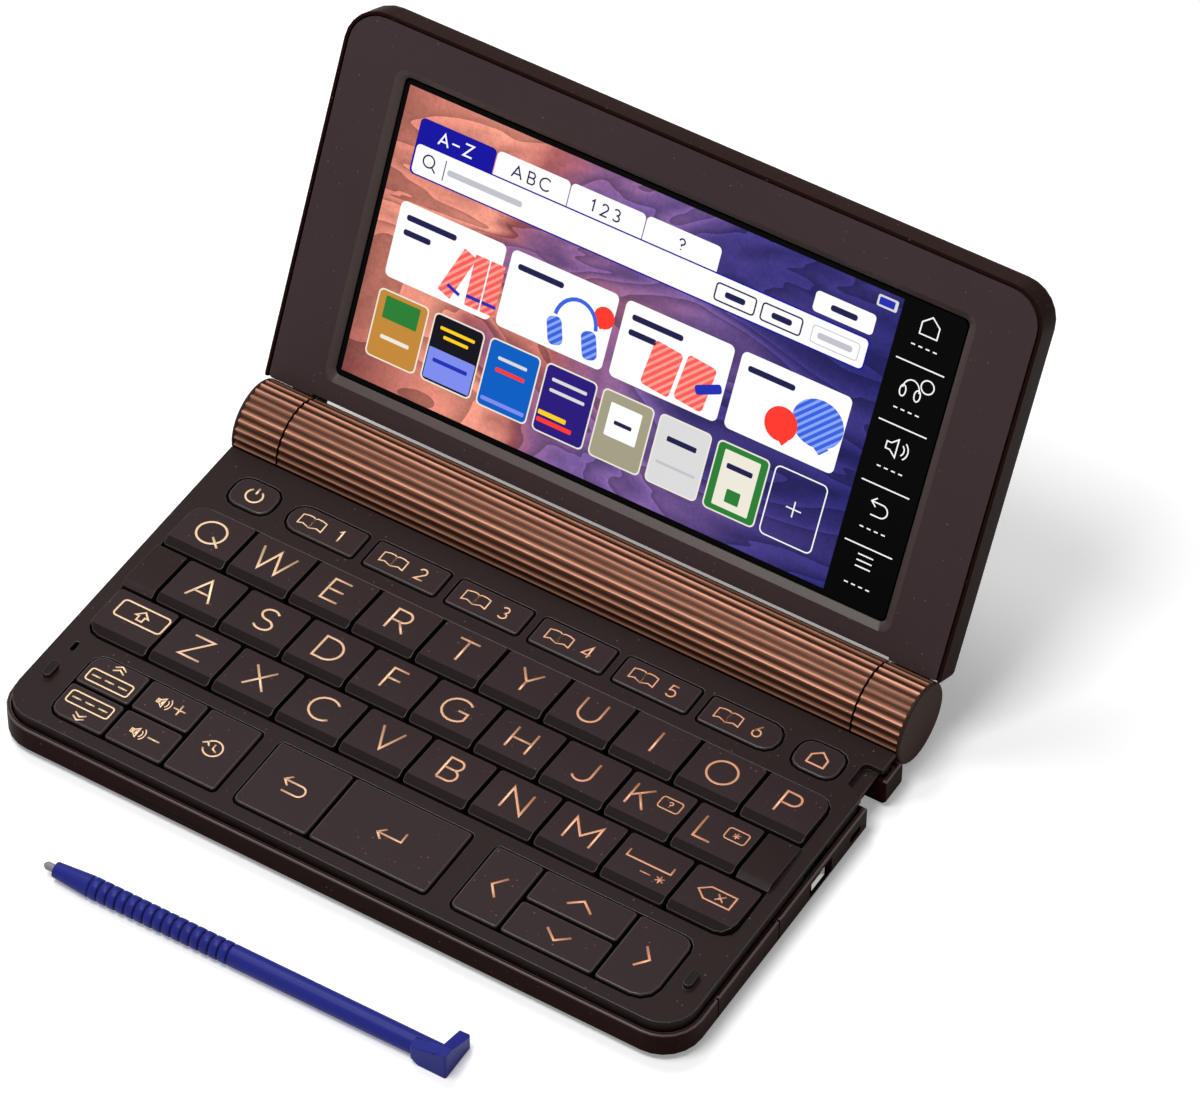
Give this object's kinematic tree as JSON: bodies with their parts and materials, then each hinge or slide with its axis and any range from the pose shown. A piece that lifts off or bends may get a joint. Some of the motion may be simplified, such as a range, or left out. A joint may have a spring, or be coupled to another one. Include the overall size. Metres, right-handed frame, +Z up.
{
  "type": "electronic dictionary",
  "caption": "Clamshell electronic dictionary with a tilting lid and screen, a round battery barrel along the hinge, a sprung keyboard and a separate stylus.",
  "frame": {"origin": "centre of the case's flat underside, above the table by the height of the feet", "axes": "+Z up, +X to the user's right, +Y away from the user to the hinge barrel"},
  "size_m": [0.1484, 0.1546, 0.087],
  "materials": {
    "case": "satin dark brown moulding with fine sparkle",
    "deck": "satin dark brown moulding with fine sparkle",
    "keys": "fine matte",
    "bezel": "satin dark brown moulding with fine sparkle",
    "barrel": "metallic copper brown paint",
    "glass": "dark screen glass",
    "board": "solder mask",
    "cells": "printed metal can",
    "stylus": "smooth",
    "tip": "smooth"
  },
  "bodies": {
    "base": {"lower_case": "case", "keyboard_frame": "deck", "circuit_board": "board", "battery_barrel": "barrel", "battery_cells": "cells"},
    "lid": {"lid_rear_cover": "bezel", "lid_front_frame": "bezel", "display_panel": "glass", "hinge_barrel_left": "barrel", "hinge_barrel_right": "barrel"},
    "stylus": {"stylus_body": "stylus", "stylus_tip": "tip"},
    "key_q": {"key_q": "keys"},
    "key_w": {"key_w": "keys"},
    "key_e": {"key_e": "keys"},
    "key_r": {"key_r": "keys"},
    "key_t": {"key_t": "keys"},
    "key_y": {"key_y": "keys"},
    "key_u": {"key_u": "keys"},
    "key_i": {"key_i": "keys"},
    "key_o": {"key_o": "keys"},
    "key_p": {"key_p": "keys"},
    "key_a": {"key_a": "keys"},
    "key_s": {"key_s": "keys"},
    "key_d": {"key_d": "keys"},
    "key_f": {"key_f": "keys"},
    "key_g": {"key_g": "keys"},
    "key_h": {"key_h": "keys"},
    "key_j": {"key_j": "keys"},
    "key_k": {"key_k": "keys"},
    "key_l": {"key_l": "keys"},
    "key_shift": {"key_shift": "keys"},
    "key_z": {"key_z": "keys"},
    "key_x": {"key_x": "keys"},
    "key_c": {"key_c": "keys"},
    "key_v": {"key_v": "keys"},
    "key_b": {"key_b": "keys"},
    "key_n": {"key_n": "keys"},
    "key_m": {"key_m": "keys"},
    "key_space": {"key_space": "keys"},
    "key_delete": {"key_delete": "keys"},
    "key_power": {"key_power": "keys"},
    "key_function_1": {"key_function_1": "keys"},
    "key_function_2": {"key_function_2": "keys"},
    "key_function_3": {"key_function_3": "keys"},
    "key_function_4": {"key_function_4": "keys"},
    "key_function_5": {"key_function_5": "keys"},
    "key_function_6": {"key_function_6": "keys"},
    "key_home": {"key_home": "keys"},
    "key_previous": {"key_previous": "keys"},
    "key_next": {"key_next": "keys"},
    "key_volume_up": {"key_volume_up": "keys"},
    "key_volume_down": {"key_volume_down": "keys"},
    "key_history": {"key_history": "keys"},
    "key_back": {"key_back": "keys"},
    "key_enter": {"key_enter": "keys"},
    "key_left": {"key_left": "keys"},
    "key_up": {"key_up": "keys"},
    "key_down": {"key_down": "keys"},
    "key_right": {"key_right": "keys"}
  },
  "joints": [
    {"name": "lid_hinge", "type": "hinge", "parent": "base", "child": "lid", "pos_m": [0, 0.0392, 0.0085], "axis": [1, 0, 0], "range_deg": [-25, 115.4]},
    {"name": "press_q", "type": "slide", "parent": "base", "child": "key_q", "axis": [0, 0, -1], "range_m": [0, 0.0008], "stiffness_N_per_m": 200},
    {"name": "press_w", "type": "slide", "parent": "base", "child": "key_w", "axis": [0, 0, -1], "range_m": [0, 0.0008], "stiffness_N_per_m": 200},
    {"name": "press_e", "type": "slide", "parent": "base", "child": "key_e", "axis": [0, 0, -1], "range_m": [0, 0.0008], "stiffness_N_per_m": 200},
    {"name": "press_r", "type": "slide", "parent": "base", "child": "key_r", "axis": [0, 0, -1], "range_m": [0, 0.0008], "stiffness_N_per_m": 200},
    {"name": "press_t", "type": "slide", "parent": "base", "child": "key_t", "axis": [0, 0, -1], "range_m": [0, 0.0008], "stiffness_N_per_m": 200},
    {"name": "press_y", "type": "slide", "parent": "base", "child": "key_y", "axis": [0, 0, -1], "range_m": [0, 0.0008], "stiffness_N_per_m": 200},
    {"name": "press_u", "type": "slide", "parent": "base", "child": "key_u", "axis": [0, 0, -1], "range_m": [0, 0.0008], "stiffness_N_per_m": 200},
    {"name": "press_i", "type": "slide", "parent": "base", "child": "key_i", "axis": [0, 0, -1], "range_m": [0, 0.0008], "stiffness_N_per_m": 200},
    {"name": "press_o", "type": "slide", "parent": "base", "child": "key_o", "axis": [0, 0, -1], "range_m": [0, 0.0008], "stiffness_N_per_m": 200},
    {"name": "press_p", "type": "slide", "parent": "base", "child": "key_p", "axis": [0, 0, -1], "range_m": [0, 0.0008], "stiffness_N_per_m": 200},
    {"name": "press_a", "type": "slide", "parent": "base", "child": "key_a", "axis": [0, 0, -1], "range_m": [0, 0.0008], "stiffness_N_per_m": 200},
    {"name": "press_s", "type": "slide", "parent": "base", "child": "key_s", "axis": [0, 0, -1], "range_m": [0, 0.0008], "stiffness_N_per_m": 200},
    {"name": "press_d", "type": "slide", "parent": "base", "child": "key_d", "axis": [0, 0, -1], "range_m": [0, 0.0008], "stiffness_N_per_m": 200},
    {"name": "press_f", "type": "slide", "parent": "base", "child": "key_f", "axis": [0, 0, -1], "range_m": [0, 0.0008], "stiffness_N_per_m": 200},
    {"name": "press_g", "type": "slide", "parent": "base", "child": "key_g", "axis": [0, 0, -1], "range_m": [0, 0.0008], "stiffness_N_per_m": 200},
    {"name": "press_h", "type": "slide", "parent": "base", "child": "key_h", "axis": [0, 0, -1], "range_m": [0, 0.0008], "stiffness_N_per_m": 200},
    {"name": "press_j", "type": "slide", "parent": "base", "child": "key_j", "axis": [0, 0, -1], "range_m": [0, 0.0008], "stiffness_N_per_m": 200},
    {"name": "press_k", "type": "slide", "parent": "base", "child": "key_k", "axis": [0, 0, -1], "range_m": [0, 0.0008], "stiffness_N_per_m": 200},
    {"name": "press_l", "type": "slide", "parent": "base", "child": "key_l", "axis": [0, 0, -1], "range_m": [0, 0.0008], "stiffness_N_per_m": 200},
    {"name": "press_shift", "type": "slide", "parent": "base", "child": "key_shift", "axis": [0, 0, -1], "range_m": [0, 0.0008], "stiffness_N_per_m": 200},
    {"name": "press_z", "type": "slide", "parent": "base", "child": "key_z", "axis": [0, 0, -1], "range_m": [0, 0.0008], "stiffness_N_per_m": 200},
    {"name": "press_x", "type": "slide", "parent": "base", "child": "key_x", "axis": [0, 0, -1], "range_m": [0, 0.0008], "stiffness_N_per_m": 200},
    {"name": "press_c", "type": "slide", "parent": "base", "child": "key_c", "axis": [0, 0, -1], "range_m": [0, 0.0008], "stiffness_N_per_m": 200},
    {"name": "press_v", "type": "slide", "parent": "base", "child": "key_v", "axis": [0, 0, -1], "range_m": [0, 0.0008], "stiffness_N_per_m": 200},
    {"name": "press_b", "type": "slide", "parent": "base", "child": "key_b", "axis": [0, 0, -1], "range_m": [0, 0.0008], "stiffness_N_per_m": 200},
    {"name": "press_n", "type": "slide", "parent": "base", "child": "key_n", "axis": [0, 0, -1], "range_m": [0, 0.0008], "stiffness_N_per_m": 200},
    {"name": "press_m", "type": "slide", "parent": "base", "child": "key_m", "axis": [0, 0, -1], "range_m": [0, 0.0008], "stiffness_N_per_m": 200},
    {"name": "press_space", "type": "slide", "parent": "base", "child": "key_space", "axis": [0, 0, -1], "range_m": [0, 0.0008], "stiffness_N_per_m": 200},
    {"name": "press_delete", "type": "slide", "parent": "base", "child": "key_delete", "axis": [0, 0, -1], "range_m": [0, 0.0008], "stiffness_N_per_m": 200},
    {"name": "press_power", "type": "slide", "parent": "base", "child": "key_power", "axis": [0, 0, -1], "range_m": [0, 0.0008], "stiffness_N_per_m": 200},
    {"name": "press_function_1", "type": "slide", "parent": "base", "child": "key_function_1", "axis": [0, 0, -1], "range_m": [0, 0.0008], "stiffness_N_per_m": 200},
    {"name": "press_function_2", "type": "slide", "parent": "base", "child": "key_function_2", "axis": [0, 0, -1], "range_m": [0, 0.0008], "stiffness_N_per_m": 200},
    {"name": "press_function_3", "type": "slide", "parent": "base", "child": "key_function_3", "axis": [0, 0, -1], "range_m": [0, 0.0008], "stiffness_N_per_m": 200},
    {"name": "press_function_4", "type": "slide", "parent": "base", "child": "key_function_4", "axis": [0, 0, -1], "range_m": [0, 0.0008], "stiffness_N_per_m": 200},
    {"name": "press_function_5", "type": "slide", "parent": "base", "child": "key_function_5", "axis": [0, 0, -1], "range_m": [0, 0.0008], "stiffness_N_per_m": 200},
    {"name": "press_function_6", "type": "slide", "parent": "base", "child": "key_function_6", "axis": [0, 0, -1], "range_m": [0, 0.0008], "stiffness_N_per_m": 200},
    {"name": "press_home", "type": "slide", "parent": "base", "child": "key_home", "axis": [0, 0, -1], "range_m": [0, 0.0008], "stiffness_N_per_m": 200},
    {"name": "press_previous", "type": "slide", "parent": "base", "child": "key_previous", "axis": [0, 0, -1], "range_m": [0, 0.0008], "stiffness_N_per_m": 200},
    {"name": "press_next", "type": "slide", "parent": "base", "child": "key_next", "axis": [0, 0, -1], "range_m": [0, 0.0008], "stiffness_N_per_m": 200},
    {"name": "press_volume_up", "type": "slide", "parent": "base", "child": "key_volume_up", "axis": [0, 0, -1], "range_m": [0, 0.0008], "stiffness_N_per_m": 200},
    {"name": "press_volume_down", "type": "slide", "parent": "base", "child": "key_volume_down", "axis": [0, 0, -1], "range_m": [0, 0.0008], "stiffness_N_per_m": 200},
    {"name": "press_history", "type": "slide", "parent": "base", "child": "key_history", "axis": [0, 0, -1], "range_m": [0, 0.0008], "stiffness_N_per_m": 200},
    {"name": "press_back", "type": "slide", "parent": "base", "child": "key_back", "axis": [0, 0, -1], "range_m": [0, 0.0008], "stiffness_N_per_m": 200},
    {"name": "press_enter", "type": "slide", "parent": "base", "child": "key_enter", "axis": [0, 0, -1], "range_m": [0, 0.0008], "stiffness_N_per_m": 200},
    {"name": "press_left", "type": "slide", "parent": "base", "child": "key_left", "axis": [0, 0, -1], "range_m": [0, 0.0008], "stiffness_N_per_m": 200},
    {"name": "press_up", "type": "slide", "parent": "base", "child": "key_up", "axis": [0, 0, -1], "range_m": [0, 0.0008], "stiffness_N_per_m": 200},
    {"name": "press_down", "type": "slide", "parent": "base", "child": "key_down", "axis": [0, 0, -1], "range_m": [0, 0.0008], "stiffness_N_per_m": 200},
    {"name": "press_right", "type": "slide", "parent": "base", "child": "key_right", "axis": [0, 0, -1], "range_m": [0, 0.0008], "stiffness_N_per_m": 200},
    {"name": "stylus_lift", "type": "slide", "parent": "base", "child": "stylus", "axis": [0, 0, 1], "range_m": [0, 0.05]}
  ]
}
